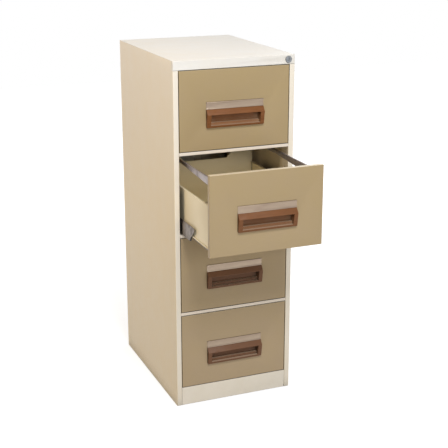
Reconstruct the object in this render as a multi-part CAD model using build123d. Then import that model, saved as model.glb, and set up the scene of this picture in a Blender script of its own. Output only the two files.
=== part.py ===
from build123d import *
import math
import os

# Four-drawer steel filing cabinet, second drawer standing open.
# All sizes are in millimetres. X runs to the right as the user faces the cabinet, Y runs to
# the back and Z runs up. The origin is on the floor, below the centre of the carcass.
# Drawers are numbered from the top. Heights inside a drawer bay are measured from the bottom
# of its opening, and depths in a drawer from the outer face of its front.

# Carcass
cabinet_width = 470.0
cabinet_depth = 630.0
cabinet_height = 1320.0
drawer_count = 4
carcass_sheet = 0.9
bend_radius = 2.0
stile_width = 20.0
stile_return = 75.0
rear_flange = 15.0
floor_gap = 2.0
plinth_height = 74.0
plinth_flange = 24.0
plinth_slit_width = 1.6
plinth_slit_height = 24.0
fascia_height = 34.0
fascia_return = 18.0
cover_tab = 12.0
rail_height = 12.0
rail_flange = 25.0
upright_flange = 22.0
rear_upright_width = 60.0
rear_upright_gap = 30.0
upright_foot = 14.0
swage_width = 34.0
swage_depth = 4.0
swage_place = 95.0

# Base pan and levelling feet
pan_rise = 12.0
pan_flange = 26.0
foot_radius = 16.0
foot_sides = 6
foot_inset = 42.0
stud_radius = 4.0
stud_length = 20.0
stud_clearance = 0.3

# Drawer front
front_gap = 2.2
front_depth = 18.0
front_sheet = 0.9
front_edge_radius = 1.6
liner_sheet = 0.7
liner_clearance = 0.2

# Drawer body
tray_sheet = 0.8
slide_gap = 16.0
tray_rise = 23.0
wall_height = 150.0
wall_lip = 8.0
ledge_width = 6.5
tray_back_gap = 43.4
back_low_height = 175.0
back_high_height = 249.0
back_low_half = 88.0
back_slant_run = 70.0

# File rails
rail_side_gap = 9.0
rail_sheet = 1.2
rail_top_height = 272.0
rail_depth = 14.5
rail_front_depth = 34.0
rail_flare_length = 320.0
rail_lip = 6.5

# Handle and label holder
handle_width = 222.0
handle_height = 66.0
handle_rise = 81.8
handle_corner = 3.0
handle_rim = 2.0
handle_foot_out = 9.0
handle_hood_out = 16.0
slot_width = 192.0
slot_top = 46.0
sill_foot = 7.5
sill_steps = 2
step_rise = 9.5
step_run = 12.0
scoop_radius = 7.0
cup_depth = 16.6
cup_wall = 1.6
cup_margin = 4.0
cup_clearance = 0.5
hood_wall = 2.6
brow_height = 2.0
brow_radius = 2.5
label_height = 26.0
label_sheet = 0.8
label_depth = 2.6
label_lip = 3.4

# Telescopic slide: cabinet runner, cradle plate with rollers, drawer runner under the ledge
runner_sheet = 1.2
runner_setback = 25.0
runner_end_gap = 30.0
channel_depth = 6.1
runner_leg = 9.0
cradle_sheet = 1.5
cradle_side_gap = 0.5
cradle_rise = 3.0
cradle_height = 58.0
cradle_back_gap = 48.2
cradle_setback = 20.0
cradle_slant_run = 48.0
cradle_tip_height = 12.0
cradle_corner = 8.0
roller_radius = 10.0
roller_play = 0.3
roller_end_gap = 0.15
track_rise = 15.0
axle_radius = 3.0
axle_clearance = 0.05
axle_end = 0.5
front_roller_width = 4.9
rear_roller_width = 3.7
front_roller_setback = 47.0
rear_roller_setback = 14.0
guide_length = 24.0
guide_margin = 10.0
keeper_height = 10.0
buffer_gap = 1.0

# Gang lock
lock_inset = 25.0
barrel_radius = 9.5
barrel_clearance = 0.1
barrel_flange_radius = 12.0
barrel_flange = 3.0
barrel_length = 24.0
cylinder_radius = 6.5
cylinder_clearance = 0.05
cylinder_proud = 0.6
keyway_width = 1.8
keyway_height = 8.0
keyway_depth = 9.0
tail_size = 5.0
tail_clearance = 0.05
cam_sheet = 2.0
cam_gap = 0.4
cam_arm = 8.5
cam_turn = 90.0
cam_hub_radius = 6.0
pin_radius = 1.5
pin_clearance = 0.35
bar_sheet = 2.0
bar_gap = 0.8
bar_width = 12.5
bar_side_gap = 1.3
bar_foot = 120.0
bar_head_wall = 3.0
lug_reach = 12.0
lug_height = 8.0
lug_place = 192.0
lug_slot_clearance = 0.8
catch_sheet = 2.0
catch_inset = 8.5
catch_depth = 18.0
catch_height = 28.0
catch_gap = 6.0
catch_notch_height = 14.0
catch_notch_clearance = 1.5

# How far a cutting block reaches past the face that it cuts
overrun = 1.0

# How far the drawers run
open_drawer_number = 2
rest_extension = 290.0
full_extension = 540.0

# Places that follow from the sizes above
half_width = cabinet_width / 2
front_y = -cabinet_depth / 2
rear_y = cabinet_depth / 2
opening_x = half_width - stile_width
stile_top = cabinet_height - fascia_height
cover_bottom = cabinet_height - carcass_sheet
stack_height = stile_top - plinth_height - (drawer_count - 1) * rail_height
opening_height = stack_height / drawer_count
back_inner_y = rear_y - 2 * carcass_sheet
front_half = opening_x - front_gap
liner_y = front_y + front_depth - liner_clearance
tray_half = opening_x - slide_gap
tray_rear_y = back_inner_y - tray_back_gap - tray_sheet
channel_height = 2 * (roller_radius + roller_play + runner_sheet)
ledge_rise = tray_rise - runner_sheet
front_roller_rise = ledge_rise - roller_play - roller_radius
keeper_rise = tray_rise + tray_sheet + roller_play
runner_front_y = front_y + runner_setback
runner_rear_y = back_inner_y - runner_end_gap
cradle_outer_x = opening_x - channel_depth - cradle_side_gap
cradle_inner_x = cradle_outer_x - cradle_sheet
cradle_front_y = front_y + cradle_setback
cradle_rear_y = back_inner_y - cradle_back_gap
front_roller_y = cradle_front_y + front_roller_setback
rear_roller_y = cradle_rear_y - rear_roller_setback
guide_room = guide_length / 2 + guide_margin
keeper_y = tray_rear_y + tray_sheet - full_extension / 2 - guide_room
guide_y = runner_front_y + full_extension / 2 + guide_room
lock_x = half_width - lock_inset
lock_z = cabinet_height - fascia_height / 2
barrel_rear_y = front_y + barrel_length
cam_y = barrel_rear_y + cam_gap
bar_y = cam_y + cam_sheet + bar_gap
bar_x = opening_x + carcass_sheet + bar_side_gap
bar_lift = 2 * cam_arm * math.sin(math.radians(cam_turn / 2))


def bay_bottom(number):
    """Height of the bottom of a drawer's opening, counted from the top drawer."""
    return plinth_height + (drawer_count - number) * (opening_height + rail_height)


def block(x0, x1, y0, y1, z0, z1):
    """A box from its low and high corners."""
    middle = Pos((x0 + x1) / 2, (y0 + y1) / 2, (z0 + z1) / 2)
    return middle * Box(x1 - x0, y1 - y0, z1 - z0)


def fold(points, sheet, radius):
    """The section of a folded sheet whose outer side runs through the points."""
    outer = FilletPolyline(*points, radius=radius) if radius > 0 else Polyline(*points)
    return make_face(offset(outer, amount=sheet, side=Side.RIGHT).edges())


def outline(points):
    """A flat face inside a closed run of points."""
    return make_face(Polyline(*points, close=True))


def along_x(section, x0, x1):
    """A section drawn as (y, z), carried from x0 to x1."""
    return extrude(Plane.YZ.offset(x0) * section, amount=x1 - x0)


def along_y(section, y0, y1):
    """A section drawn as (x, z), carried from y0 to y1."""
    return extrude(Plane.XZ.offset(-y1) * section, amount=y1 - y0)


def along_z(section, z0, z1):
    """A section drawn as (x, y), carried from z0 to z1."""
    return extrude(Plane.XY.offset(z0) * section, amount=z1 - z0)


def disc(x0, x1, y, z, radius):
    """A cylinder along X."""
    return along_x(Pos(y, z) * Circle(radius), x0, x1)


def barrel(y0, y1, x, z, radius):
    """A cylinder along Y."""
    return along_y(Pos(x, z) * Circle(radius), y0, y1)


def both_sides(shape):
    """A right-hand piece and its mirror image on the left."""
    return shape.solids() + mirror(shape, Plane.YZ).solids()


def one(shape):
    """The single solid of a shape."""
    solids = shape.solids()
    if len(solids) != 1:
        raise ValueError(f"expected one solid, found {len(solids)}")
    return solids


def save(name, solids, moved=0.0):
    """Write one node, drawn forward by the given distance."""
    placed = [Pos(0, -moved, 0) * solid for solid in solids]
    export_step(Compound(placed), f"parts/{name}.step")


# Carcass

def side_shell():
    """The right-hand side panel: rear flange, side, front stile and its return in one sheet."""
    rear = [(half_width - rear_flange, rear_y), (half_width, rear_y)]
    front = [(half_width, front_y), (opening_x, front_y), (opening_x, front_y + stile_return)]
    lower = along_z(fold(rear + front, carcass_sheet, bend_radius), floor_gap, stile_top)
    top_run = rear + [(half_width, front_y + cover_tab)]
    upper = along_z(fold(top_run, carcass_sheet, bend_radius), stile_top, cover_bottom)
    return lower + upper


def lug_slots():
    """The slots in the right-hand return that the lock bar's lugs pass through."""
    slots = []
    for number in range(1, drawer_count + 1):
        low = bay_bottom(number) + lug_place - lug_slot_clearance
        high = bay_bottom(number) + lug_place + lug_height + bar_lift + lug_slot_clearance
        x0, x1 = opening_x - overrun, opening_x + carcass_sheet + overrun
        y0, y1 = bar_y - lug_slot_clearance, bar_y + bar_sheet + lug_slot_clearance
        slots.append(block(x0, x1, y0, y1, low, high))
    return slots


def top_cover():
    """The lid: top sheet, front fascia with its lower return, and a tab round each corner."""
    points = [(front_y + fascia_return, stile_top), (front_y, stile_top)]
    points += [(front_y, cabinet_height), (rear_y, cabinet_height)]
    lid = along_x(fold(points, carcass_sheet, bend_radius), -half_width, half_width)
    tab = block(half_width - carcass_sheet, half_width, front_y + carcass_sheet / 2,
                front_y + cover_tab, stile_top, cabinet_height - carcass_sheet / 2)
    relief = block(half_width - carcass_sheet, half_width + overrun, front_y + cover_tab,
                   front_y + fascia_return + overrun, stile_top - overrun,
                   stile_top + 2 * carcass_sheet)
    lid = lid + tab + mirror(tab, Plane.YZ) - relief - mirror(relief, Plane.YZ)
    plan = Rectangle(cabinet_width, cabinet_depth)
    plan = fillet(plan.vertices().group_by(Axis.Y)[0], bend_radius)
    lid = lid & along_z(plan, stile_top, cabinet_height)
    hole = barrel(front_y - overrun, front_y + carcass_sheet + overrun, lock_x, lock_z,
                  barrel_radius + barrel_clearance)
    return lid - hole


def plinth():
    """The toe board between the stiles, folded twice, with a slit beside the right stile."""
    points = [(front_y + plinth_flange, floor_gap), (front_y, floor_gap)]
    points += [(front_y, plinth_height), (front_y + plinth_flange, plinth_height)]
    board = along_x(fold(points, carcass_sheet, bend_radius), -opening_x, opening_x)
    slit = block(opening_x - plinth_slit_width, opening_x + overrun, front_y - overrun,
                 front_y + plinth_flange + overrun, floor_gap - overrun,
                 floor_gap + plinth_slit_height)
    return board - slit


def cross_rail(number):
    """The folded rail under one drawer opening."""
    top = bay_bottom(number)
    low = top - rail_height
    points = [(front_y + rail_flange, low), (front_y, low)]
    points += [(front_y, top), (front_y + rail_flange, top)]
    return along_x(fold(points, carcass_sheet, bend_radius), -opening_x, opening_x)


def back_panel():
    """The back sheet, with a pressed rib down each side of its middle."""
    inner = half_width - bend_radius
    low, high = rear_y - carcass_sheet, rear_y - carcass_sheet - swage_depth
    edge, crown = swage_width / 2, swage_width / 2 - swage_depth
    points = [(-inner, low)]
    for x in (-swage_place, swage_place):
        points += [(x - edge, low), (x - crown, high), (x + crown, high), (x + edge, low)]
    points += [(inner, low)]
    return along_z(fold(points, carcass_sheet, 0), floor_gap, cover_bottom)


def front_upright():
    """The channel that closes the box behind a stile and carries the runner's front end."""
    rear = front_y + stile_return
    inner, outer = opening_x + carcass_sheet, half_width - carcass_sheet
    points = [(inner, rear - upright_flange), (inner, rear), (outer, rear)]
    points += [(outer, rear - upright_flange)]
    return along_z(fold(points, carcass_sheet, 0), upright_foot, stile_top - carcass_sheet)


def rear_upright():
    """The channel inside the back corner that carries the runner's rear end."""
    rear = back_inner_y - rear_upright_gap
    front = rear - rear_upright_width
    outer = half_width - carcass_sheet
    points = [(outer, front), (opening_x, front), (opening_x, rear), (outer, rear)]
    return along_z(fold(points, carcass_sheet, 0), upright_foot, stile_top)


def base_pan():
    """The bottom pan between the sides, with holes for the feet."""
    front, rear = front_y + carcass_sheet, back_inner_y - swage_depth
    top = pan_rise + pan_flange
    pan = block(-opening_x, opening_x, front, rear, pan_rise, top)
    inside = block(-opening_x + carcass_sheet, opening_x - carcass_sheet, front + carcass_sheet,
                   rear - carcass_sheet, pan_rise + carcass_sheet, top + overrun)
    pan = pan - inside
    for x, y in foot_places():
        hole = Cylinder(stud_radius + stud_clearance, 2 * (carcass_sheet + overrun))
        pan = pan - Pos(x, y, pan_rise) * hole
    return pan


def foot_places():
    """The four corners where the feet stand."""
    x = opening_x - foot_inset
    return [(sx * x, sy * (rear_y - foot_inset)) for sx in (-1, 1) for sy in (-1, 1)]


def foot():
    """A levelling foot: a hexagonal glide, for a spanner, with its threaded stud."""
    glide = extrude(RegularPolygon(foot_radius, foot_sides), amount=pan_rise)
    return glide + along_z(Circle(stud_radius), pan_rise, pan_rise + stud_length)


# Slides

def channel(x_back, x_open, middle):
    """A C-section with its web at x_back and its flanges reaching to x_open."""
    low, high = middle - channel_height / 2, middle + channel_height / 2
    if x_open < x_back:
        points = [(x_open, high), (x_back, high), (x_back, low), (x_open, low)]
    else:
        points = [(x_open, low), (x_back, low), (x_back, high), (x_open, high)]
    return fold(points, runner_sheet, 0)


def cabinet_runner(bay):
    """The fixed channel on the right-hand side of a bay."""
    section = channel(opening_x, opening_x - channel_depth, bay + cradle_rise + track_rise)
    return along_y(section, runner_front_y, runner_rear_y)


def drawer_runner(bay):
    """The angle under the drawer's right-hand ledge that rides on the front roller."""
    inner, outer = tray_half - runner_sheet, tray_half + ledge_width
    top, track = bay + tray_rise, bay + ledge_rise
    points = [(inner, top), (outer, top), (outer, track), (tray_half, track)]
    points += [(tray_half, top - runner_leg), (inner, top - runner_leg)]
    return along_y(outline(points), liner_y, tray_rear_y + tray_sheet)


def runner_buffer(bay):
    """The rubber stop in the rear end of a cabinet runner."""
    middle = bay + cradle_rise + track_rise
    reach = roller_radius + roller_play
    inner = opening_x - runner_sheet
    return block(inner - rear_roller_width, inner, rear_roller_y + roller_radius + buffer_gap,
                 runner_rear_y, middle - reach, middle + reach)


def cradle(bay):
    """The moving plate, with its two axles, a guide block and a keeper over the ledge."""
    low = bay + cradle_rise
    high = low + cradle_height
    front, rear = cradle_front_y, cradle_rear_y
    points = [(rear, low), (front + cradle_slant_run, low), (front, high - cradle_tip_height)]
    plate = outline(points + [(front, high), (rear, high)])
    plate = fillet(plate.vertices().sort_by(Axis.X)[:2], cradle_corner)
    body = along_x(plate, cradle_inner_x, cradle_outer_x)
    track = low + track_rise
    end_play = 2 * roller_end_gap + axle_end
    body += disc(cradle_inner_x - front_roller_width - end_play, cradle_inner_x,
                 front_roller_y, bay + front_roller_rise, axle_radius)
    body += disc(cradle_outer_x, cradle_outer_x + rear_roller_width + end_play,
                 rear_roller_y, track, axle_radius)
    half = guide_length / 2
    body += block(cradle_inner_x - front_roller_width, cradle_inner_x, keeper_y - half,
                  keeper_y + half, bay + keeper_rise, bay + keeper_rise + keeper_height)
    body += block(cradle_outer_x, cradle_outer_x + rear_roller_width, guide_y - half,
                  guide_y + half, track - roller_radius, track + roller_radius)
    return body


def roller(x0, x1, y, z):
    """A nylon roller with a running fit on its axle."""
    return disc(x0, x1, y, z, roller_radius) - disc(x0, x1, y, z, axle_radius + axle_clearance)


def front_roller(bay):
    """The roller low in the cradle's tip that carries the drawer's ledge."""
    x1 = cradle_inner_x - roller_end_gap
    return roller(x1 - front_roller_width, x1, front_roller_y, bay + front_roller_rise)


def rear_roller(bay):
    """The roller at the cradle's rear end that runs in the cabinet runner."""
    x0 = cradle_outer_x + roller_end_gap
    return roller(x0, x0 + rear_roller_width, rear_roller_y, bay + cradle_rise + track_rise)


# Drawers

def handle_cutout(bay, clearance):
    """The block of space that the handle's cup takes behind the front's face."""
    half = handle_width / 2 - cup_margin + clearance
    low = bay + front_gap + handle_rise
    return block(-half, half, front_y - overrun, front_y + front_sheet + overrun,
                 low + cup_margin - clearance, low + handle_height - cup_margin + clearance)


def drawer_front(bay):
    """The outer front: a shallow pan with rounded edges and an opening for the handle."""
    low, high = bay + front_gap, bay + opening_height - front_gap
    skin = block(-front_half, front_half, front_y, front_y + front_depth, low, high)
    skin = fillet(skin.faces().sort_by(Axis.Y)[0].edges(), front_edge_radius)
    inset = front_sheet
    skin -= block(-front_half + inset, front_half - inset, front_y + inset, front_y + front_depth,
                  low + inset, high - inset)
    return skin - handle_cutout(bay, cup_clearance)


def drawer_liner(bay):
    """The inner front sheet, with the hooked catch that the lock bar's lug enters."""
    inset = front_sheet + liner_clearance
    low, high = bay + front_gap + inset, bay + opening_height - front_gap - inset
    sheet = block(-front_half + inset, front_half - inset, liner_y - liner_sheet, liner_y,
                  low, high)
    x1 = opening_x - catch_inset
    catch_low = bay + lug_place + lug_height + catch_gap
    catch = block(x1 - catch_sheet, x1, liner_y, liner_y + catch_depth, catch_low,
                  catch_low + catch_height)
    notch = block(x1 - catch_sheet - overrun, x1 + overrun, bar_y - catch_notch_clearance,
                  bar_y + bar_sheet + catch_notch_clearance, catch_low - overrun,
                  catch_low + catch_notch_height)
    return sheet + (catch - notch)


def drawer_tray(bay):
    """The folded drawer body: bottom, two side walls with turned-in lips, and a ledge."""
    low = bay + tray_rise
    high = low + wall_height
    points = [(-tray_half + wall_lip, high), (-tray_half, high), (-tray_half, low)]
    points = [(-x, z) for x, z in points] + points[::-1]
    body = along_y(fold(points, tray_sheet, 0), liner_y, tray_rear_y)
    for side in (-1, 1):
        inner, outer = side * (tray_half - 2 * tray_sheet), side * (tray_half + ledge_width)
        body += block(min(inner, outer), max(inner, outer), liner_y, tray_rear_y, low,
                      low + tray_sheet)
    return body


def drawer_back(bay):
    """The back plate, cut low in the middle and high at its ends to carry the file rails."""
    low = bay + tray_rise
    dip, peak = low + back_low_height, low + back_high_height
    slant = back_low_half + back_slant_run
    right = [(tray_half, low), (tray_half, peak), (slant, peak), (back_low_half, dip)]
    points = right + [(-x, z) for x, z in right[::-1]]
    return along_y(outline(points), tray_rear_y, tray_rear_y + tray_sheet)


def file_rail(bay):
    """A hanging-file rail: an angle strip that deepens to a gusset at the drawer front."""
    top = bay + rail_top_height
    inner = tray_half - rail_side_gap
    flare = liner_y + rail_flare_length
    points = [(liner_y, top), (tray_rear_y, top), (tray_rear_y, top - rail_depth)]
    points += [(flare, top - rail_depth), (liner_y, top - rail_front_depth)]
    web = along_x(outline(points), inner, inner + rail_sheet)
    lip = block(inner, inner + rail_lip, liner_y, tray_rear_y, top - rail_sheet, top)
    return web + lip


def handle(bay):
    """The moulded pull: a rim, a sloping hood and a finger cup with a stepped sill."""
    low = bay + front_gap + handle_rise
    high = low + handle_height
    face = front_y
    brow = (face - handle_hood_out, low + slot_top + brow_height)
    points = [(face, low), (face - handle_foot_out, low), brow]
    points += [(face - handle_rim, high), (face, high)]
    section = outline(points)
    edge = section.vertices().sort_by_distance((*brow, 0))[0]
    section = fillet(edge, brow_radius)
    rim = along_x(section, -handle_width / 2, handle_width / 2)
    rim = fillet(rim.edges().filter_by(Axis.Y).group_by(Axis.Z)[0], handle_corner)
    cup_half = handle_width / 2 - cup_margin
    cup = block(-cup_half, cup_half, face, face + cup_depth, low + cup_margin, high - cup_margin)
    return rim + cup - finger_space(low, high)


def finger_space(low, high):
    """The hollow of a handle: steps up to the sill, a scoop, and room behind the hood."""
    outer = front_y - 2 * handle_hood_out
    back = front_y + cup_depth - cup_wall
    slope = (handle_hood_out - handle_foot_out) / (slot_top + brow_height)
    y, z = front_y - handle_foot_out - slope * sill_foot, low + sill_foot
    points = [(outer, z)]
    for step in range(sill_steps - 1):
        y += step_run
        points += [(y, z), (y, z + step_rise)]
        z += step_rise
    points += [(back, z), (back, high - cup_margin - cup_wall)]
    points += [(front_y, high - cup_margin - cup_wall)]
    points += [(front_y - handle_hood_out + hood_wall, low + slot_top), (outer, low + slot_top)]
    section = outline(points)
    scoop = section.vertices().sort_by_distance((back, z, 0))[0]
    return along_x(fillet(scoop, scoop_radius), -slot_width / 2, slot_width / 2)


def label_holder(bay):
    """The card holder above the pull: a strip with a turned lip above and below the card."""
    low = bay + front_gap + handle_rise + handle_height
    high = low + label_height
    outer = front_y - label_depth
    points = [(outer, low + label_lip), (outer, low), (front_y, low), (front_y, high)]
    points += [(outer, high), (outer, high - label_lip)]
    section = fold(points[::-1], label_sheet, 0)
    return along_x(section, -handle_width / 2, handle_width / 2)


# Lock

def lock_barrel():
    """The fixed housing through the fascia, with its round flange."""
    body = barrel(front_y, barrel_rear_y, lock_x, lock_z, barrel_radius)
    flange = barrel(front_y - barrel_flange, front_y, lock_x, lock_z, barrel_flange_radius)
    bore = barrel(front_y - barrel_flange - overrun, barrel_rear_y + overrun, lock_x, lock_z,
                  cylinder_radius + cylinder_clearance)
    return body + flange - bore


def lock_cylinder():
    """The plug that the key turns, with its keyway and the square tail for the cam."""
    face = front_y - barrel_flange - cylinder_proud
    plug = barrel(face, barrel_rear_y, lock_x, lock_z, cylinder_radius)
    tail = block(lock_x - tail_size / 2, lock_x + tail_size / 2, barrel_rear_y,
                 cam_y + cam_sheet, lock_z - tail_size / 2, lock_z + tail_size / 2)
    keyway = block(lock_x - keyway_width / 2, lock_x + keyway_width / 2, face - overrun,
                   face + keyway_depth, lock_z - keyway_height / 2, lock_z + keyway_height / 2)
    return plug + tail - keyway


def cam_pin():
    """Where the cam's pin stands when the lock is open."""
    start = math.radians(cam_turn / 2)
    return lock_x + cam_arm * math.cos(start), lock_z - cam_arm * math.sin(start)


def lock_cam():
    """The arm on the cylinder's tail, with the pin that lifts the lock bar."""
    pin_x, pin_z = cam_pin()
    hub = Pos(lock_x, lock_z) * Circle(cam_hub_radius)
    tip = Pos(pin_x, pin_z) * Circle(2 * pin_radius)
    section = make_hull(hub.edges() + tip.edges())
    socket = tail_size + 2 * tail_clearance
    section -= Pos(lock_x, lock_z) * Rectangle(socket, socket)
    arm = along_y(section, cam_y, cam_y + cam_sheet)
    return arm + barrel(cam_y + cam_sheet, bar_y + bar_sheet, pin_x, pin_z, pin_radius)


def lock_bar():
    """The gang bar: a strip with a slotted head for the cam and a lug for each drawer."""
    pin_x, pin_z = cam_pin()
    reach = pin_radius + pin_clearance
    slot_end = lock_x + cam_arm + reach
    head_left = pin_x - reach - bar_head_wall
    head_low, head_high = pin_z - reach - bar_head_wall, pin_z + reach + bar_head_wall
    right = bar_x + bar_width
    section = Pos((bar_x + right) / 2, (bar_foot + head_high) / 2) * Rectangle(
        bar_width, head_high - bar_foot)
    section += Pos((head_left + right) / 2, pin_z) * Rectangle(
        right - head_left, head_high - head_low)
    for number in range(1, drawer_count + 1):
        low = bay_bottom(number) + lug_place
        tip = opening_x - lug_reach
        section += Pos((tip + bar_x) / 2, low + lug_height / 2) * Rectangle(
            bar_x - tip, lug_height)
    section -= Pos((pin_x - reach + slot_end) / 2, pin_z) * Rectangle(
        slot_end - pin_x + reach, 2 * reach)
    return along_y(section, bar_y, bar_y + bar_sheet)


def build_cabinet():
    """Write every node that stays with the carcass, and the lock's moving pieces."""
    shell = side_shell()
    slotted = shell
    for slot in lug_slots():
        slotted = slotted - slot
    save("right_side_panel", one(slotted))
    save("left_side_panel", one(mirror(shell, Plane.YZ)))
    save("top_cover", one(top_cover()))
    save("plinth", one(plinth()))
    save("back_panel", one(back_panel()))
    save("base_pan", one(base_pan()))
    save("front_uprights", both_sides(front_upright()))
    save("rear_uprights", both_sides(rear_upright()))
    rails = [cross_rail(number) for number in range(1, drawer_count)]
    save("cross_rails", [solid for rail in rails for solid in rail.solids()])
    feet = [Pos(x, y, 0) * foot() for x, y in foot_places()]
    save("levelling_feet", [solid for each in feet for solid in each.solids()])
    bays = [bay_bottom(number) for number in range(1, drawer_count + 1)]
    save("cabinet_runners", [solid for bay in bays for solid in both_sides(cabinet_runner(bay))])
    save("runner_buffers", [solid for bay in bays for solid in both_sides(runner_buffer(bay))])
    save("lock_barrel", one(lock_barrel()))
    save("lock_cylinder", one(lock_cylinder()))
    save("lock_cam", one(lock_cam()))
    save("lock_bar", one(lock_bar()))


def build_drawer(number):
    """Write every node of one drawer and of the two cradles that carry it."""
    bay = bay_bottom(number)
    extension = rest_extension if number == open_drawer_number else 0.0
    half_way = extension / 2
    name = f"drawer_{number}"
    save(f"{name}_front", one(drawer_front(bay)), extension)
    save(f"{name}_liner", one(drawer_liner(bay)), extension)
    save(f"{name}_tray", one(drawer_tray(bay)), extension)
    save(f"{name}_back", one(drawer_back(bay)), extension)
    save(f"{name}_file_rails", both_sides(file_rail(bay)), extension)
    save(f"{name}_handle", one(handle(bay)), extension)
    save(f"{name}_label_holder", one(label_holder(bay)), extension)
    save(f"{name}_runners", both_sides(drawer_runner(bay)), extension)
    save(f"{name}_cradles", both_sides(cradle(bay)), half_way)
    save(f"{name}_front_rollers", both_sides(front_roller(bay)), half_way)
    save(f"{name}_rear_rollers", both_sides(rear_roller(bay)), half_way)


os.makedirs("parts", exist_ok=True)
build_cabinet()
for drawer in range(1, drawer_count + 1):
    build_drawer(drawer)
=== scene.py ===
import logging
import math
from dataclasses import dataclass
from enum import Enum

import bmesh
import bpy
from mathutils import Matrix, Vector


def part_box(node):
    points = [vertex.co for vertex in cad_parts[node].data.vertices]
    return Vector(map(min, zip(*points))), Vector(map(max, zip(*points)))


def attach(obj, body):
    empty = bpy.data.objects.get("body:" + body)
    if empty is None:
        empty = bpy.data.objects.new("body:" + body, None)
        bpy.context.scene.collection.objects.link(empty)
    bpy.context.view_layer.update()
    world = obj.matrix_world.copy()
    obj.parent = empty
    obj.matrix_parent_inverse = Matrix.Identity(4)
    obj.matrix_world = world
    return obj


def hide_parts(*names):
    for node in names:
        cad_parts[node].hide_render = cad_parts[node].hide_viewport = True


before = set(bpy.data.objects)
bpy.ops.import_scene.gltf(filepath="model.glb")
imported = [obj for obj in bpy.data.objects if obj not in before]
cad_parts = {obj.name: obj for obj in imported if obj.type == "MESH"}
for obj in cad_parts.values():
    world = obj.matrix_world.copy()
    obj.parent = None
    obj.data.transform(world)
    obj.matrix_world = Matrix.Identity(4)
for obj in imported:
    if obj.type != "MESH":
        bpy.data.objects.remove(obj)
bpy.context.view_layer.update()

LOG = logging.getLogger("filing_cabinet")
MM = 0.001

# Corners closer than this are one corner of a folded sheet
WELD_GAP = 0.002 * MM
# Faces that turn by less than this are one flat face, and edges that turn by more are creases
FLAT_TURN = math.radians(0.6)
CREASE_TURN = math.radians(28.0)

# The rays by which an Ambient Occlusion node finds how open a place is
SHELTER_RAYS = 8
# A Mix node's colour sockets by number: the colour below, the one over it and the result
MIX_UNDER, MIX_OVER, MIX_RESULT = 6, 7, 2


class Slot(Enum):
    """The record's material slots."""

    CABINET = "cabinet_enamel"
    FRONT = "drawer_enamel"
    BODY = "body_enamel"
    RAIL = "rail_steel"
    PULL = "pull_plastic"
    HOLDER = "holder_aluminium"
    SLIDE = "slide_steel"
    ROLLER = "roller_nylon"
    BUFFER = "buffer_rubber"
    FOOT = "foot_plastic"
    LOCK_CHROME = "lock_chrome"
    LOCK_STEEL = "lock_steel"


class Side(Enum):
    """The two sides of the cabinet, as the sign of X."""

    LEFT = -1
    RIGHT = 1


class Along(Enum):
    """The axis that a part is turned about, or that its sheet was rolled along."""

    X = 0
    Y = 1


def linear(code: str) -> tuple[float, float, float, float]:
    """Turns an sRGB colour into the linear one that the shaders take.

    Args:
        code: The colour as six hex digits.

    Returns:
        Red, green, blue and an alpha of 1.
    """
    parts = [int(code[i:i + 2], 16) / 255 for i in (0, 2, 4)]
    curve = [p / 12.92 if p <= 0.04045 else ((p + 0.055) / 1.055) ** 2.4 for p in parts]
    return (*curve, 1.0)


def add_node(tree: bpy.types.NodeTree, kind: str, settings: dict | None = None,
             links: dict | None = None) -> bpy.types.Node:
    """Adds one shader node.

    Args:
        tree: The node tree that it joins.
        kind: Its type, without the ShaderNode that all types start with.
        settings: Its properties by name, and its inputs' values by name or number.
        links: What feeds its inputs, by the input's name or number: a socket, or a node
            that feeds it from its first output.

    Returns:
        The new node.
    """
    node = tree.nodes.new("ShaderNode" + kind)
    for key, value in (settings or {}).items():
        if isinstance(key, str) and hasattr(node, key):
            setattr(node, key, value)
        else:
            node.inputs[key].default_value = value
    for key, source in (links or {}).items():
        socket = source.outputs[0] if isinstance(source, bpy.types.Node) else source
        tree.links.new(socket, node.inputs[key])
    return node


@dataclass(frozen=True)
class Ramp:
    """A value that goes from first to last while a pattern reads from start to end.

    Where no readings are given, they are those that a noise pattern fills.
    """

    first: float
    last: float
    start: float = 0.3
    end: float = 0.7

    def ends(self) -> dict[str, float]:
        """The readings and values by the names of a Map Range node's sockets."""
        return {"From Min": self.start, "From Max": self.end,
                "To Min": self.first, "To Max": self.last}


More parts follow.
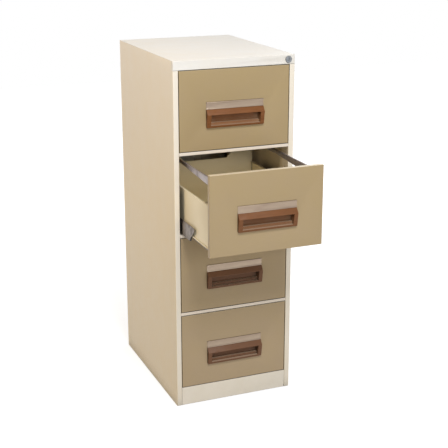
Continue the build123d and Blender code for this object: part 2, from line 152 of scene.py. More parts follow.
@dataclass(frozen=True)
class Finish:
    """What all finishes share: a name, the record's slot and a way to dress a piece."""

    name: str
    slot: Slot

    def surface(self, tree: bpy.types.NodeTree, place: bpy.types.NodeSocket) -> bpy.types.Node:
        """Builds the shader of this finish.

        Args:
            tree: The material's node tree.
            place: The position on the object, in metres.

        Returns:
            The node whose first output is the surface.
        """
        raise NotImplementedError(self.name)

    def material(self) -> bpy.types.Material:
        """Makes the finish as a Blender material once, and then shares it.

        Returns:
            The material.
        """
        made = bpy.data.materials.get(self.name)
        if made:
            return made
        made = bpy.data.materials.new(self.name)
        made.use_nodes = True
        tree = made.node_tree
        tree.nodes.clear()
        place = add_node(tree, "TexCoord").outputs["Object"]
        add_node(tree, "OutputMaterial", links={"Surface": self.surface(tree, place)})
        return made

    def noise(self, tree: bpy.types.NodeTree, place: bpy.types.NodeSocket,
              grain_mm: tuple[float, float, float], detail: float) -> bpy.types.Node:
        """Draws a noise pattern at a real size.

        Args:
            tree: The material's node tree.
            place: The position on the object, in metres.
            grain_mm: The size of one grain along X, Y and Z, in millimetres.
            detail: How many finer layers the pattern has.

        Returns:
            The node that gives the pattern, from 0 to 1.
        """
        scale = Vector([1.0 / (size * MM) for size in grain_mm])
        sized = add_node(tree, "Mapping", {"Scale": scale}, {"Vector": place})
        return add_node(tree, "TexNoise", {"Scale": 1.0, "Detail": detail}, {"Vector": sized})

    def coats(self, tree: bpy.types.NodeTree, ground: str,
              layers: list[tuple[bpy.types.Node, str]]) -> bpy.types.NodeSocket:
        """Lays colours over one another.

        Args:
            tree: The material's node tree.
            ground: The lowest colour as sRGB hex.
            layers: From the lowest up, the share that a colour covers and its sRGB hex.

        Returns:
            The colour that shows.
        """
        under, links = {MIX_UNDER: linear(ground)}, {}
        for share, code in layers:
            settings = {"data_type": "RGBA", MIX_OVER: linear(code)} | under
            mixed = add_node(tree, "Mix", settings, links | {0: share}).outputs[MIX_RESULT]
            under, links = {}, {MIX_UNDER: mixed}
        return mixed


@dataclass(frozen=True)
class StoveEnamel(Finish):
    """Alkyd enamel sprayed on pressed steel and stoved.

    It gives the eye a half-gloss, even colour, a faint orange peel in the highlights and slow
    waves where the light-gauge sheet isn't quite flat. Painted shade shifts the colour a little
    towards a second, mostly yellower tone low down, and more so on the side faces. A dusty film
    and a painted highlight lighten faces that look up, painted shade darkens inner corners and
    gaps, and deep in sheltered places a dark, rougher colour is painted in as shade, less of it
    low on the piece.
    """

    colour: str
    shade_and_tone: str
    # Shares of the painted shade's colour shift by height in metres: of all faces, and of those
    # that look sideways
    shade_low_down: Ramp
    sides: Ramp = Ramp(0.0, 0.0, 0.7, 1.3)
    clouds: Ramp = Ramp(0.0, 0.10)
    cloud_mm: float = 70.0
    # Share of the dusty film and painted highlight, by how far a face looks up
    dust_and_highlight: Ramp | None = None
    dust_and_highlight_colour: str = "F0E6CE"
    # Shares of painted shade by how open the place is: in corners and gaps, and deep inside
    corner_shade: Ramp = Ramp(0.85, 0.0, 0.4, 0.85)
    corner_shade_colour: str = "221A10"
    corner_shade_reach_mm: float = 5.0
    deep_shade: Ramp | None = None
    deep_shade_colour: str = "2B2318"
    deep_shade_reach_mm: float = 260.0
    # How much rougher the surface is where the deep shade is painted
    deep_shade_dullness: float = 0.55
    # What is left of the deep shade's share, by height on the piece
    deep_shade_by_height: Ramp | None = None
    roughness: Ramp = Ramp(0.35, 0.47)
    scuff_mm: float = 9.0
    scuff_length_mm: float = 27.0
    ior: float = 1.5
    sheen: float = 0.5
    # Real orange peel is about 1 mm across and is drawn at twice that, so that it shows
    peel_mm: float = 2.0
    peel_depth_mm: float = 0.008
    wave_mm: float = 240.0
    wave_depth_mm: float = 0.30
    weld_row_mm: float | None = None
    weld_pitch_mm: float = 95.0
    weld_radius_mm: float = 3.2
    weld_depth_mm: float = 0.35

    def surface(self, tree: bpy.types.NodeTree, place: bpy.types.NodeSocket) -> bpy.types.Node:
        """Builds the enamel. See Finish.surface for Args and Returns."""
        within = add_node(tree, "TexCoord").outputs
        facing = add_node(tree, "SeparateXYZ", links={0: within["Normal"]}).outputs
        height = add_node(tree, "SeparateXYZ", links={0: place}).outputs[2]
        # Painted shade: low down and on side faces the colour shifts to a second tone, standing in
        # for the weaker, warmer light there
        low_down = add_node(tree, "MapRange", self.shade_low_down.ends(), {"Value": height})
        sideways = add_node(tree, "Math", {"operation": "ABSOLUTE"}, {0: facing[0]})
        side_shade_share = add_node(tree, "MapRange", self.sides.ends(), {"Value": height})
        shade_and_tone = add_node(tree, "Math", {"operation": "MULTIPLY_ADD"},
                        {0: sideways, 1: side_shade_share, 2: low_down})
        clouds = self.noise(tree, place, (self.cloud_mm,) * 3, 3.0)
        cloudy = add_node(tree, "MapRange", self.clouds.ends(), {"Value": clouds})
        share = add_node(tree, "Math", {"operation": "ADD", "use_clamp": True},
                         {0: shade_and_tone, 1: cloudy})
        layers = [(share, self.shade_and_tone)]
        # Painted highlight, partly a dusty film: faces that look up are lightened, as where light
        # catches them
        if self.dust_and_highlight:
            lying = add_node(tree, "MapRange", self.dust_and_highlight.ends(), {"Value": facing[2]})
            layers.append((lying, self.dust_and_highlight_colour))
        # Painted shade: corners and the gaps between parts are darkened by how much ambient light
        # they are shut off from
        corners = add_node(tree, "AmbientOcclusion", {"Distance": self.corner_shade_reach_mm * MM,
                                                      "samples": SHELTER_RAYS}).outputs["AO"]
        corner_shade_share = add_node(tree, "MapRange", self.corner_shade.ends(), {"Value": corners})
        layers.append((corner_shade_share, self.corner_shade_colour))
        scuff_size = (self.scuff_mm, self.scuff_mm, self.scuff_length_mm)
        scuffs = self.noise(tree, place, scuff_size, 5.0)
        rough = add_node(tree, "MapRange", self.roughness.ends(), {"Value": scuffs})
        # Painted shade: deep inside the carcass and the drawers a dark, rougher colour stands in
        # for the shade there
        if self.deep_shade:
            deep_shade_share = self.deep_shaded(tree, within["Generated"])
            layers.append((deep_shade_share, self.deep_shade_colour))
            rough = add_node(tree, "Math", {"operation": "MULTIPLY_ADD", 1: self.deep_shade_dullness},
                             {0: deep_shade_share, 2: rough})
        waves = self.noise(tree, place, (self.wave_mm,) * 3, 1.0)
        peel = self.noise(tree, place, (self.peel_mm,) * 3, 1.0)
        bent = add_node(tree, "Bump", {"Distance": self.wave_depth_mm * MM}, {"Height": waves})
        bent = add_node(tree, "Bump", {"Distance": self.peel_depth_mm * MM},
                        {"Height": peel, "Normal": bent})
        if self.weld_row_mm:
            bent = add_node(tree, "Bump", {"Distance": self.weld_depth_mm * MM},
                            {"Height": self.welds(tree, place), "Normal": bent})
        colour = self.coats(tree, self.colour, layers)
        return add_node(tree, "BsdfPrincipled", {"IOR": self.ior, "Specular IOR Level": self.sheen},
                        {"Base Color": colour, "Roughness": rough, "Normal": bent})

    def deep_shaded(self, tree: bpy.types.NodeTree, within: bpy.types.NodeSocket) -> bpy.types.Node:
        """Finds where deep shade is painted, which is in sheltered places and high on the piece.

        Args:
            tree: The material's node tree.
            within: The position in the piece's own box, from 0 to 1.

        Returns:
            The node that gives the share of painted deep shade.
        """
        shelter = add_node(tree, "AmbientOcclusion", {"Distance": self.deep_shade_reach_mm * MM,
                                                      "samples": SHELTER_RAYS}).outputs["AO"]
        deep_shade_share = add_node(tree, "MapRange", self.deep_shade.ends(), {"Value": shelter})
        if not self.deep_shade_by_height:
            return deep_shade_share
        rise = add_node(tree, "SeparateXYZ", links={0: within}).outputs[2]
        above = add_node(tree, "MapRange", self.deep_shade_by_height.ends(), {"Value": rise})
        return add_node(tree, "Math", {"operation": "MULTIPLY"}, {0: deep_shade_share, 1: above})

    def welds(self, tree: bpy.types.NodeTree, place: bpy.types.NodeSocket) -> bpy.types.Node:
        """Draws the dimples of the spot welds down both edges of a back panel.

        Args:
            tree: The material's node tree.
            place: The position on the object, in metres.

        Returns:
            The node that gives the height, from 0 in the middle of a dimple to 1 round it.
        """
        spot = add_node(tree, "SeparateXYZ", links={0: place}).outputs
        across = add_node(tree, "Math", {"operation": "ABSOLUTE"}, {0: spot[0]})
        across = add_node(tree, "Math", {"operation": "SUBTRACT", 1: self.weld_row_mm * MM},
                          {0: across})
        along = add_node(tree, "Math", {"operation": "PINGPONG", 1: self.weld_pitch_mm * MM / 2},
                         {0: spot[2]})
        gap = add_node(tree, "CombineXYZ", links={0: across, 1: along})
        away = add_node(tree, "VectorMath", {"operation": "LENGTH"}, {0: gap}).outputs["Value"]
        dimple = Ramp(0.0, 1.0, 0.0, self.weld_radius_mm * MM)
        return add_node(tree, "MapRange", dimple.ends(), {"Value": away})


@dataclass(frozen=True)
class ZincPlatedSteel(Finish):
    """Cold-rolled strip, zinc plated in a barrel.

    It gives the eye a grey metal with soft reflections, fine lines along the rolling
    direction and duller patches where dusty grease has dried on it.
    """

    colour: str
    stain_and_shade: str
    roughness: Ramp = Ramp(0.28, 0.48)
    rolled: Along = Along.Y
    # Rolling lines are about 0.1 mm apart and are drawn at five times that
    line_mm: float = 0.5
    line_length_mm: float = 60.0
    line_depth_mm: float = 0.004
    patches: Ramp = Ramp(0.0, 1.0, 0.42, 0.68)
    patch_mm: float = 22.0

    def surface(self, tree: bpy.types.NodeTree, place: bpy.types.NodeSocket) -> bpy.types.Node:
        """Builds the plated steel. See Finish.surface for Args and Returns."""
        size = [self.line_mm] * 3
        size[self.rolled.value] = self.line_length_mm
        lines = self.noise(tree, place, tuple(size), 2.0)
        patches = self.noise(tree, place, (self.patch_mm,) * 3, 4.0)
        share = add_node(tree, "MapRange", self.patches.ends(), {"Value": patches})
        rough = add_node(tree, "MapRange", self.roughness.ends(), {"Value": patches})
        bent = add_node(tree, "Bump", {"Distance": self.line_depth_mm * MM}, {"Height": lines})
        colour = self.coats(tree, self.colour, [(share, self.stain_and_shade)])
        return add_node(tree, "BsdfPrincipled", {"Metallic": 1.0},
                        {"Base Color": colour, "Roughness": rough, "Normal": bent})


@dataclass(frozen=True)
class SatinAluminium(Finish):
    """Extruded aluminium, brushed along its length and clear anodised.

    It gives the eye a soft grey that picks up its surroundings, with fine long lines.
    """

    colour: str
    worn: str
    roughness: Ramp = Ramp(0.36, 0.50)
    # Brush lines are about 0.1 mm apart and are drawn at four times that
    line_mm: float = 0.4
    line_length_mm: float = 90.0
    line_depth_mm: float = 0.003
    smears: Ramp = Ramp(0.0, 1.0)
    smear_mm: float = 18.0
    smear_length_mm: float = 72.0

    def surface(self, tree: bpy.types.NodeTree, place: bpy.types.NodeSocket) -> bpy.types.Node:
        """Builds the anodised metal. See Finish.surface for Args and Returns."""
        lines = self.noise(tree, place, (self.line_length_mm, self.line_mm, self.line_mm), 3.0)
        smear_size = (self.smear_length_mm, self.smear_mm, self.smear_mm)
        smears = self.noise(tree, place, smear_size, 3.0)
        share = add_node(tree, "MapRange", self.smears.ends(), {"Value": smears})
        rough = add_node(tree, "MapRange", self.roughness.ends(), {"Value": lines})
        bent = add_node(tree, "Bump", {"Distance": self.line_depth_mm * MM}, {"Height": lines})
        colour = self.coats(tree, self.colour, [(share, self.worn)])
        return add_node(tree, "BsdfPrincipled", {"Metallic": 1.0},
                        {"Base Color": colour, "Roughness": rough, "Normal": bent})


@dataclass(frozen=True)
class MouldedPolystyrene(Finish):
    """High-impact polystyrene, injection moulded in a spark-eroded tool.

    It gives the eye a warm brown that is glossier where hands have polished it, with painted
    shade that darkens and greys it on the low drawers, a fine pebble grain, a slight flow streak
    along the moulding, painted shade under the hood, painted light on the lower floor of the
    finger cup, and a dusty film and painted highlight on the steps of its sill.
    """

    colour: str
    streak: str
    # The colour of the painted shade on the low pulls
    stain_and_shade: str
    streaks: Ramp = Ramp(0.0, 1.0)
    streak_mm: float = 7.0
    streak_length_mm: float = 63.0
    # Share of painted shade by height in metres, greatest on the low drawers
    lower_pull_shade: Ramp = Ramp(1.0, 0.0, 0.55, 0.95)
    # Shares by how open the place is: of painted shade under the hood, and of painted light in the
    # cup
    corner_shade: Ramp = Ramp(0.97, 0.0, 0.35, 0.8)
    corner_shade_colour: str = "100703"
    corner_shade_reach_mm: float = 30.0
    in_cup: Ramp = Ramp(1.0, 0.0, 0.6, 0.92)
    # What is left of the painted light in the cup, by height on the pull and by height in metres
    low_in_cup: Ramp = Ramp(1.0, 0.0, 0.40, 0.62)
    cup_light_by_height: Ramp = Ramp(0.12, 0.60, 0.55, 0.95)
    cup_light_colour: str = "A98260"
    # Share of the dusty film and painted highlight, by how far a face looks up
    dust_and_highlight: Ramp = Ramp(0.0, 0.72, 0.85, 0.98)
    dust_and_highlight_colour: str = "BAA088"
    roughness: Ramp = Ramp(0.42, 0.62)
    polish_mm: float = 26.0
    ior: float = 1.57
    sheen: float = 0.22
    # The tool's grain is about 0.3 mm and is drawn at 0.8 mm
    grain_mm: float = 0.8
    grain_depth_mm: float = 0.02

    def surface(self, tree: bpy.types.NodeTree, place: bpy.types.NodeSocket) -> bpy.types.Node:
        """Builds the moulded plastic. See Finish.surface for Args and Returns."""
        within = add_node(tree, "TexCoord").outputs
        rise = add_node(tree, "SeparateXYZ", links={0: within["Generated"]}).outputs[2]
        upward = add_node(tree, "SeparateXYZ", links={0: within["Normal"]}).outputs[2]
        height = add_node(tree, "SeparateXYZ", links={0: place}).outputs[2]
        open_share = add_node(tree, "AmbientOcclusion", {"Distance": self.corner_shade_reach_mm * MM,
                                                         "samples": SHELTER_RAYS}).outputs["AO"]
        streak_size = (self.streak_length_mm, self.streak_mm, self.streak_mm)
        flow = self.noise(tree, place, streak_size, 4.0)
        streaks = add_node(tree, "MapRange", self.streaks.ends(), {"Value": flow})
        # Painted shade: the pulls on the low drawers are darkened, as less light reaches them
        lower_pull_shade = add_node(tree, "MapRange", self.lower_pull_shade.ends(), {"Value": height})
        # Painted shade under the hood and in the deep corners of the cup
        corner_shade_share = add_node(tree, "MapRange", self.corner_shade.ends(), {"Value": open_share})
        # Painted light: the lower floor of the finger cup is brightened, more on the higher pulls
        inside = add_node(tree, "MapRange", self.in_cup.ends(), {"Value": open_share})
        low = add_node(tree, "MapRange", self.low_in_cup.ends(), {"Value": rise})
        cup_light_height_share = add_node(tree, "MapRange", self.cup_light_by_height.ends(), {"Value": height})
        rubbed_and_lit = add_node(tree, "Math", {"operation": "MULTIPLY"}, {0: low, 1: inside})
        rubbed_and_lit = add_node(tree, "Math", {"operation": "MULTIPLY"}, {0: rubbed_and_lit, 1: cup_light_height_share})
        lying = add_node(tree, "MapRange", self.dust_and_highlight.ends(), {"Value": upward})
        colour = self.coats(tree, self.colour, [
            (streaks, self.streak), (lower_pull_shade, self.stain_and_shade), (corner_shade_share, self.corner_shade_colour),
            (rubbed_and_lit, self.cup_light_colour), (lying, self.dust_and_highlight_colour)])
        polish = self.noise(tree, place, (self.polish_mm,) * 3, 2.0)
        rough = add_node(tree, "MapRange", self.roughness.ends(), {"Value": polish})
        grain = self.noise(tree, place, (self.grain_mm,) * 3, 1.0)
        bent = add_node(tree, "Bump", {"Distance": self.grain_depth_mm * MM}, {"Height": grain})
        return add_node(tree, "BsdfPrincipled", {"IOR": self.ior, "Specular IOR Level": self.sheen},
                        {"Base Color": colour, "Roughness": rough, "Normal": bent})


@dataclass(frozen=True)
class ChromePlate(Finish):
    """Chromium over nickel on a die-cast lock, dulled by age.

    It gives the eye soft grey reflections with hair scratches from keys.
    """

    colour: str
    roughness: Ramp = Ramp(0.26, 0.42)
    # A key's scratches are under 0.1 mm wide and are drawn at 0.3 mm
    scratch_mm: float = 0.3
    scratch_length_mm: float = 5.0
    scratch_depth_mm: float = 0.002

    def surface(self, tree: bpy.types.NodeTree, place: bpy.types.NodeSocket) -> bpy.types.Node:
        """Builds the chrome. See Finish.surface for Args and Returns."""
        scratch_size = (self.scratch_mm, self.scratch_mm, self.scratch_length_mm)
        hairs = self.noise(tree, place, scratch_size, 4.0)
        rough = add_node(tree, "MapRange", self.roughness.ends(), {"Value": hairs})
        bent = add_node(tree, "Bump", {"Distance": self.scratch_depth_mm * MM}, {"Height": hairs})
        return add_node(tree, "BsdfPrincipled",
                        {"Metallic": 1.0, "Base Color": linear(self.colour)},
                        {"Roughness": rough, "Normal": bent})


@dataclass(frozen=True)
class PlainMoulding(Finish):
    """A plain polymer part: nylon, rubber or polypropylene.

    It gives the eye one colour with a soft bloom, worn brighter or darker in patches.
    """

    colour: str
    rubbed_and_lit: str
    roughness: Ramp
    ior: float
    patches: Ramp = Ramp(0.0, 1.0)
    patch_mm: float = 6.0
    # The mould's grain is about 0.2 mm and is drawn at three times that
    grain_mm: float = 0.6
    grain_depth_mm: float = 0.01

    def surface(self, tree: bpy.types.NodeTree, place: bpy.types.NodeSocket) -> bpy.types.Node:
        """Builds the polymer. See Finish.surface for Args and Returns."""
        patches = self.noise(tree, place, (self.patch_mm,) * 3, 4.0)
        share = add_node(tree, "MapRange", self.patches.ends(), {"Value": patches})
        rough = add_node(tree, "MapRange", self.roughness.ends(), {"Value": patches})
        grain = self.noise(tree, place, (self.grain_mm,) * 3, 1.0)
        bent = add_node(tree, "Bump", {"Distance": self.grain_depth_mm * MM}, {"Height": grain})
        colour = self.coats(tree, self.colour, [(share, self.rubbed_and_lit)])
        return add_node(tree, "BsdfPrincipled", {"IOR": self.ior},
                        {"Base Color": colour, "Roughness": rough, "Normal": bent})


CREAM_ENAMEL = StoveEnamel(
    "cream_stove_enamel", Slot.CABINET, "F0E8DA", "E9D2A3", Ramp(0.12, 0.0, 0.0, 1.3),
    sides=Ramp(0.62, 0.155, 0.7, 1.3), deep_shade=Ramp(0.95, 0.0, 0.1, 0.5))
BACK_ENAMEL = StoveEnamel(
    "cream_stove_enamel_back", Slot.CABINET, "F0E8DA", "E9D2A3", Ramp(0.12, 0.0, 0.0, 1.3),
    deep_shade=Ramp(0.95, 0.0, 0.1, 0.5), weld_row_mm=224.0)
# Painted light: the top cover takes a whiter, cooler copy of the cream paint, as the light from
# above shows it
COVER_ENAMEL = StoveEnamel(
    "cream_stove_enamel_lit_cover", Slot.CABINET, "EEEBE5", "E9D2A3", Ramp(0.0, 0.0, 0.0, 1.3),
    sides=Ramp(0.62, 0.155, 0.7, 1.3))
TOE_ENAMEL = StoveEnamel(
    "cream_stove_enamel_scuffed", Slot.CABINET, "E9E1D3", "DCD1BC", Ramp(0.2, 0.0, 0.0, 1.3),
    clouds=Ramp(0.0, 0.4))
RAIL_ENAMEL = StoveEnamel(
    "cream_stove_enamel_rails", Slot.CABINET, "F0E6D8", "E6D6C2", Ramp(0.6, 0.0, 0.0, 1.3))
BODY_ENAMEL = StoveEnamel(
    "cream_stove_enamel_bodies", Slot.BODY, "EEE2C4", "E0D0A7", Ramp(0.3, 0.0, 0.0, 1.3),
    dust_and_highlight=Ramp(0.0, 0.3, 0.4, 1.0), deep_shade=Ramp(0.08, 0.0, 0.1, 0.7))
PLATE_ENAMEL = StoveEnamel(
    "cream_stove_enamel_back_plates", Slot.BODY, "F4E8C8", "E5D5AA", Ramp(0.3, 0.0, 0.0, 1.3),
    dust_and_highlight=Ramp(0.0, 0.3, 0.4, 1.0), deep_shade=Ramp(0.9, 0.0, 0.15, 1.0),
    deep_shade_by_height=Ramp(0.0, 1.0, 0.3, 0.95))
TAN_ENAMEL = StoveEnamel(
    "tan_stove_enamel", Slot.FRONT, "B19B72", "AE997C", Ramp(0.8, 0.0, 0.0, 1.3),
    clouds=Ramp(0.0, 0.22), dust_and_highlight=Ramp(0.0, 0.6, 0.4, 1.0), sheen=0.3, corner_shade_reach_mm=3.2)
BROWN_PULL = MouldedPolystyrene("brown_polystyrene", Slot.PULL, "73451F", "82522C", "6C4A33")
LABEL_METAL = SatinAluminium("satin_anodised_aluminium", Slot.HOLDER, "A0907F", "948374")
SLIDE_ZINC = ZincPlatedSteel("zinc_plated_slide", Slot.SLIDE, "877F79", "6A625D")
RAIL_ZINC = ZincPlatedSteel("zinc_plated_file_rail", Slot.RAIL, "A79F9F", "8B8282",
                            Ramp(0.40, 0.60))
LOCK_ZINC = ZincPlatedSteel("zinc_plated_lock_steel", Slot.LOCK_STEEL, "A6A29C", "8D877F")
LOCK_CHROME = ChromePlate("dulled_chrome", Slot.LOCK_CHROME, "84878B")
NYLON = PlainMoulding("black_nylon", Slot.ROLLER, "1C1A19", "2D2A28", Ramp(0.36, 0.50), 1.53)
RUBBER = PlainMoulding("black_rubber", Slot.BUFFER, "1D1C1B", "2C2A28", Ramp(0.66, 0.80), 1.52)
GLIDE = PlainMoulding("black_polypropylene", Slot.FOOT, "222120", "34322F", Ramp(0.42, 0.56),
                      1.49)


class Workshop:
    """Makes pieces out of meshes, dresses them and puts them on their bodies."""

    def place(self, name: str, mesh: bpy.types.Mesh, finish: Finish, body: str,
              *stands_for: str) -> None:
        """Puts a finished mesh into the scene as a piece.

        Args:
            name: The piece's name.
            mesh: Its mesh, in metres in the cabinet's own frame.
            finish: The finish that it gets.
            body: The body that it rides on.
            *stands_for: The nodes that it is shown instead of.
        """
        piece = bpy.data.objects.new(name, mesh)
        bpy.context.scene.collection.objects.link(piece)
        mesh.materials.clear()
        mesh.materials.append(finish.material())
        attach(piece, body)
        if stands_for:
            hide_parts(*stands_for)
        LOG.info("piece %s on %s: %d faces, %s", name, body, len(mesh.polygons), finish.name)

    def softened(self, node: str, edge_mm: float, steps: int = 2) -> bpy.types.Mesh:
        """Copies a node's mesh and breaks its sharp edges, as tools and paint leave them.

        Args:
            node: The node whose shape is copied.
            edge_mm: The width of the broken edge, in millimetres.
            steps: The number of faces across the edge.

        Returns:
            The new mesh.
        """
        work = bmesh.new()
        work.from_mesh(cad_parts[node].data)
        bmesh.ops.remove_doubles(work, verts=work.verts, dist=WELD_GAP)
        bmesh.ops.dissolve_limit(work, angle_limit=FLAT_TURN, verts=work.verts,
                                 edges=work.edges)
        creases = [e for e in work.edges
                   if len(e.link_faces) == 2 and e.calc_face_angle() > CREASE_TURN]
        bmesh.ops.bevel(work, geom=creases, offset=edge_mm * MM, segments=steps, profile=0.5,
                        affect="EDGES", clamp_overlap=True)
        return self.finished(work, node + "_mesh")

    def finished(self, work: bmesh.types.BMesh, name: str) -> bpy.types.Mesh:
        """Turns a bmesh into a mesh that shades smoothly between its creases.

        Args:
            work: The bmesh, which is freed.
            name: The mesh's name.

        Returns:
            The new mesh.
        """
        bmesh.ops.recalc_face_normals(work, faces=work.faces)
        for face in work.faces:
            face.smooth = True
        mesh = bpy.data.meshes.new(name)
        work.to_mesh(mesh)
        work.free()
        mesh.set_sharp_from_angle(angle=CREASE_TURN)
        return mesh

    def turn(self, work: bmesh.types.BMesh, profile: list[tuple[float, float]], centre: Vector,
             axis: Along, facing: int, steps: int, ring: bool = False) -> None:
        """Adds a turned part to a bmesh.

        Args:
            work: The bmesh that it joins.
            profile: Radius and height in millimetres, from one end to the other.
            centre: Where height 0 stands on the axis, in metres.
            axis: The axis that it is turned about.
            facing: 1 where the height runs along the axis, -1 where it runs against it.
            steps: The number of faces round the part.
            ring: Whether the profile closes on itself, as round a bore.
        """
        across = Vector([0.0] * 3)
        across[(axis.value + 1) % 3] = 1.0
        spindle = Vector([0.0] * 3)
        spindle[axis.value] = 1.0
        rings = []
        for radius, height in profile:
            up = spindle * (facing * height * MM)
            if radius == 0:
                rings.append([work.verts.new(centre + up)])
                continue
            turns = [Matrix.Rotation(math.tau * i / steps, 3, spindle) for i in range(steps)]
            rings.append([work.verts.new(centre + up + turn @ across * (radius * MM))
                          for turn in turns])
        pairs = list(zip(rings, rings[1:]))
        if ring:
            pairs.append((rings[-1], rings[0]))
        for near, far in pairs:
            for i in range(steps):
                corners = [near[i % len(near)], near[(i + 1) % len(near)],
                           far[(i + 1) % len(far)], far[i % len(far)]]
                work.faces.new(list(dict.fromkeys(corners)))


SHOP = Workshop()


def dome(radius: float, height: float, steps: int = 6) -> list[tuple[float, float]]:
    """The profile of a domed head that stands on height 0.

    Args:
        radius: The head's radius, in millimetres.
        height: The height of its crown, in millimetres.
        steps: The number of points from the rim to the crown.

    Returns:
        Radius and height pairs, closed below by a flat foot.
    """
    turns = [math.pi / 2 * i / steps for i in range(steps + 1)]
    crown = [(radius * math.cos(turn), height * math.sin(turn)) for turn in turns[:-1]]
    return [(0.0, 0.0)] + crown + [(0.0, height)]


@dataclass
class Carcass:
    """The welded shell of the cabinet with what is fixed in it."""

    body: str = "cabinet"
    sheet_edge_mm: float = 0.3
    foot_edge_mm: float = 0.8
    foot_edge_steps: int = 3
    sheets: tuple[tuple[str, Finish], ...] = (
        ("left_side_panel", CREAM_ENAMEL), ("right_side_panel", CREAM_ENAMEL),
        ("front_uprights", CREAM_ENAMEL), ("rear_uprights", CREAM_ENAMEL),
        ("base_pan", CREAM_ENAMEL), ("back_panel", BACK_ENAMEL),
        ("top_cover", COVER_ENAMEL), ("plinth", TOE_ENAMEL), ("cross_rails", RAIL_ENAMEL),
        ("cabinet_runners", SLIDE_ZINC), ("runner_buffers", RUBBER))

    def build(self) -> None:
        """Shows the sheets, the fixed runners and their buffers, and then the feet."""
        for node, finish in self.sheets:
            mesh = SHOP.softened(node, self.sheet_edge_mm)
            SHOP.place(f"{node}_pressing", mesh, finish, self.body, node)
        self.feet()

    def feet(self) -> None:
        """Shows the four levelling feet with the edges of their treads well rounded."""
        mesh = SHOP.softened("levelling_feet", self.foot_edge_mm, self.foot_edge_steps)
        SHOP.place("levelling_feet_turned", mesh, GLIDE, self.body, "levelling_feet")


@dataclass
class GangLock:
    """The lock in the fascia, its cam and the bar that holds the drawers."""

    edge_mm: float = 0.35

    def build(self) -> None:
        """Shows the housing, the cylinder, the cam and the bar."""
        parts = (("lock_barrel", "lock_barrel_housing", LOCK_CHROME, "cabinet"),
                 ("lock_cylinder", "lock_cylinder_plug", LOCK_CHROME, "lock_cylinder"),
                 ("lock_cam", "lock_cam_arm", LOCK_ZINC, "lock_cylinder"),
                 ("lock_bar", "lock_bar_strip", LOCK_ZINC, "lock_bar"))
        for node, name, finish, body in parts:
            SHOP.place(name, SHOP.softened(node, self.edge_mm), finish, body, node)


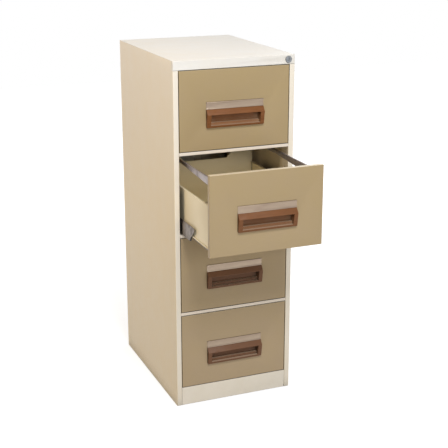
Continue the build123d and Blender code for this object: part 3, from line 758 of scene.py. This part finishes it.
@dataclass
class Drawer:
    """One drawer: its front, body and pull, and the cradles and rollers that carry it."""

    number: int
    sheet_edge_mm: float = 0.25
    handle_edge_mm: float = 0.9
    handle_edge_steps: int = 3
    label_edge_mm: float = 0.2
    roller_edge_mm: float = 0.6
    front_roller_mm: float = 4.9
    rear_roller_mm: float = 3.7
    roller_radius_mm: float = 10.0
    bore_mm: float = 3.05
    hub_mm: float = 5.2
    rim_mm: float = 1.7
    web_depth_mm: float = 0.7
    web_slope_mm: float = 0.3
    # Where the tread's broken edge has its middle point, as a share of its width
    edge_middle: float = 0.3
    roller_faces: int = 48
    rivet_radius_mm: float = 3.6
    rivet_height_mm: float = 0.45
    rivet_faces: int = 24
    # The outer face of a cradle's plate, from the middle of the cabinet
    plate_mm: float = 208.4
    # Each rivet's setback from the nose and height above the plate's foot
    rivets_mm: tuple[tuple[float, float], ...] = ((42.0, 47.0), (110.0, 23.0))

    @property
    def name(self) -> str:
        """The drawer's name, which begins the names of its nodes."""
        return f"drawer_{self.number}"

    def build(self) -> None:
        """Builds every piece of the drawer."""
        parts = (("front", "front_panel", TAN_ENAMEL), ("liner", "liner_panel", BODY_ENAMEL),
                 ("tray", "folded_body", BODY_ENAMEL), ("back", "back_plate", PLATE_ENAMEL),
                 ("file_rails", "hanging_rails", RAIL_ZINC),
                 ("runners", "wall_runners", SLIDE_ZINC))
        for node, piece, finish in parts:
            self.formed(node, piece, finish, self.sheet_edge_mm)
        self.formed("handle", "moulded_pull", BROWN_PULL, self.handle_edge_mm,
                    self.handle_edge_steps)
        self.formed("label_holder", "card_strip", LABEL_METAL, self.label_edge_mm)
        self.cradles()
        self.rollers("front_rollers", self.front_roller_mm)
        self.rollers("rear_rollers", self.rear_roller_mm)

    def formed(self, node: str, piece: str, finish: Finish, edge_mm: float,
               steps: int = 2) -> None:
        """Shows one of the drawer's own parts with its edges broken.

        Args:
            node: The end of the node's name.
            piece: The end of the piece's name.
            finish: The finish that it gets.
            edge_mm: The width of the broken edge, in millimetres.
            steps: The number of faces across that edge.
        """
        whole = f"{self.name}_{node}"
        SHOP.place(f"{self.name}_{piece}", SHOP.softened(whole, edge_mm, steps), finish,
                   self.name, whole)

    def cradles(self) -> None:
        """Shows the two moving plates and the rivets in their outer faces."""
        node = f"{self.name}_cradles"
        mesh = SHOP.softened(node, self.sheet_edge_mm)
        SHOP.place(f"{self.name}_cradle_plates", mesh, SLIDE_ZINC, node, node)
        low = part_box(node)[0]
        head = dome(self.rivet_radius_mm, self.rivet_height_mm)
        work = bmesh.new()
        for side in Side:
            for setback, height in self.rivets_mm:
                place = Vector((side.value * self.plate_mm * MM, low.y + setback * MM,
                                low.z + height * MM))
                SHOP.turn(work, head, place, Along.X, side.value, self.rivet_faces)
        SHOP.place(f"{self.name}_cradle_rivets", SHOP.finished(work, "rivets"), SLIDE_ZINC, node)

    def rollers(self, which: str, width_mm: float) -> None:
        """Turns a pair of rollers with a sunk web, a hub and rounded treads.

        Args:
            which: The end of the node's name.
            width_mm: The width of the roller, in millimetres.
        """
        node = f"{self.name}_{which}"
        low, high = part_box(node)
        middle = (low + high) / 2
        radius, edge, deep = self.roller_radius_mm, self.roller_edge_mm, self.web_depth_mm
        inner, slope, cut = radius - self.rim_mm, self.web_slope_mm, self.edge_middle * edge
        half = [(self.bore_mm, 0.0), (self.hub_mm, 0.0), (self.hub_mm + slope, deep),
                (inner - slope, deep), (inner, 0.0), (radius - edge, 0.0),
                (radius - cut, cut), (radius, edge)]
        other = [(r, width_mm - h) for r, h in reversed(half)]
        work = bmesh.new()
        for side in Side:
            start = Vector((side.value * high.x, middle.y, middle.z))
            SHOP.turn(work, half + other, start, Along.X, -side.value, self.roller_faces, True)
        SHOP.place(f"{self.name}_{which}_turned", SHOP.finished(work, which), NYLON, node, node)


@dataclass(frozen=True)
class Softbox:
    """A square lamp: its place, target and side in metres, its power and its colour."""

    name: str
    place: tuple[float, float, float]
    target: tuple[float, float, float]
    side: float
    watts: float
    colour: str = "FFFFFF"

    def hang(self) -> None:
        """Hangs the lamp and points it at its target."""
        light = bpy.data.lights.new(self.name, "AREA")
        light.shape = "SQUARE"
        light.size = self.side
        light.energy = self.watts
        light.color = linear(self.colour)[:3]
        lamp = bpy.data.objects.new(self.name, light)
        bpy.context.scene.collection.objects.link(lamp)
        lamp.location = self.place
        ray = Vector(self.target) - Vector(self.place)
        lamp.rotation_euler = ray.to_track_quat("-Z", "Y").to_euler()


@dataclass
class Studio:
    """The pale floor, the white surroundings, the lamps and the camera."""

    camera_place: tuple[float, float, float] = (-1.429, -3.704, 1.842)
    # How far the camera is turned to the right and dipped below the level, in degrees
    camera_turn: float = 22.25
    camera_dip: float = 17.19
    lens_mm: float = 83.33
    sensor_mm: float = 36.0
    floor_size: float = 14.0
    floor_colour: str = "BEBEBE"
    # How white the eye sees the floor, by the distance from the cabinet's middle in metres
    floor_glow: Ramp = Ramp(0.68, 0.95, 0.6, 2.4)
    surround_colour: str = "FFFFFF"
    surround_level: float = 0.26
    lamps: tuple[Softbox, ...] = (
        Softbox("front_softbox", (-0.3, -3.8, 4.7), (0.0, -0.3, 0.7), 1.6, 145.0),
        Softbox("fill_softbox", (-0.3, -5.4, 2.2), (0.0, -0.3, 0.7), 1.5, 62.0),
        Softbox("overhead_softbox", (0.0, 0.4, 3.6), (0.0, 0.0, 1.32), 1.2, 3.0),
        Softbox("side_softbox", (-2.8, 0.0, 2.9), (0.0, 0.0, 0.9), 1.2, 40.0, "FFE6C4"),
        Softbox("rear_softbox", (3.4, 3.2, 2.6), (0.0, 0.0, 0.7), 1.5, 60.0))

    def build(self) -> None:
        """Sets up all that isn't part of the object."""
        bpy.context.scene.view_settings.view_transform = "Standard"
        self.floor()
        self.surroundings()
        for lamp in self.lamps:
            lamp.hang()
        self.camera()

    def floor(self) -> None:
        """Lays a white paper floor that keeps the cabinet's shadow."""
        half = self.floor_size / 2
        work = bmesh.new()
        corners = [work.verts.new((x, y, 0.0)) for x, y in
                   ((-half, -half), (half, -half), (half, half), (-half, half))]
        work.faces.new(corners)
        mesh = bpy.data.meshes.new("floor")
        work.to_mesh(mesh)
        work.free()
        floor = bpy.data.objects.new("studio_floor", mesh)
        bpy.context.scene.collection.objects.link(floor)
        paper = bpy.data.materials.new("white_paper")
        paper.use_nodes = True
        tree = paper.node_tree
        tree.nodes.clear()
        matt = add_node(tree, "BsdfDiffuse", {"Color": linear(self.floor_colour)})
        place = add_node(tree, "TexCoord").outputs["Object"]
        away = add_node(tree, "VectorMath", {"operation": "LENGTH"}, {0: place}).outputs["Value"]
        lift = add_node(tree, "MapRange", self.floor_glow.ends(), {"Value": away})
        seen = add_node(tree, "Math", {"operation": "MULTIPLY"},
                        {0: lift, 1: self.seen_rays(tree)})
        glow = add_node(tree, "Emission", links={"Strength": seen})
        both = add_node(tree, "AddShader", links={0: matt, 1: glow})
        add_node(tree, "OutputMaterial", links={"Surface": both})
        mesh.materials.append(paper)

    def surroundings(self) -> None:
        """Makes the world white to the eye and in reflections, and dimmer as light."""
        world = bpy.data.worlds.new("white_room")
        bpy.context.scene.world = world
        world.use_nodes = True
        tree = world.node_tree
        tree.nodes.clear()
        white = linear(self.surround_colour)
        light = add_node(tree, "Background", {"Color": white, "Strength": self.surround_level})
        seen = add_node(tree, "Background", {"Color": white, "Strength": 1.0})
        mixed = add_node(tree, "MixShader", links={0: self.seen_rays(tree), 1: light, 2: seen})
        add_node(tree, "OutputWorld", links={"Surface": mixed})

    def seen_rays(self, tree: bpy.types.NodeTree) -> bpy.types.Node:
        """Tells rays that show a surface to the eye from those that light it.

        Args:
            tree: The node tree that asks.

        Returns:
            The node that gives 1 for rays from the camera, a mirror or a glass, else 0.
        """
        rays = add_node(tree, "LightPath").outputs
        either = add_node(tree, "Math", {"operation": "MAXIMUM"},
                          {0: rays["Is Camera Ray"], 1: rays["Is Glossy Ray"]})
        return add_node(tree, "Math", {"operation": "MAXIMUM"},
                        {0: either, 1: rays["Is Transmission Ray"]})

    def camera(self) -> None:
        """Stands the camera at the photograph's angle."""
        data = bpy.data.cameras.new("camera")
        data.lens = self.lens_mm
        data.sensor_width = self.sensor_mm
        data.sensor_fit = "HORIZONTAL"
        camera = bpy.data.objects.new("camera", data)
        bpy.context.scene.collection.objects.link(camera)
        camera.location = self.camera_place
        camera.rotation_euler = (math.radians(90.0 - self.camera_dip), 0.0,
                                 -math.radians(self.camera_turn))
        bpy.context.scene.camera = camera


def main() -> None:
    """Builds the studio, the carcass, the lock and the drawers, in that order."""
    logging.basicConfig(level=logging.INFO, format="%(message)s")
    Studio().build()
    Carcass().build()
    GangLock().build()
    drawers = [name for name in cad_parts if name.endswith("_front")]
    for number in range(1, len(drawers) + 1):
        Drawer(number).build()


if __name__ == "__main__":
    main()
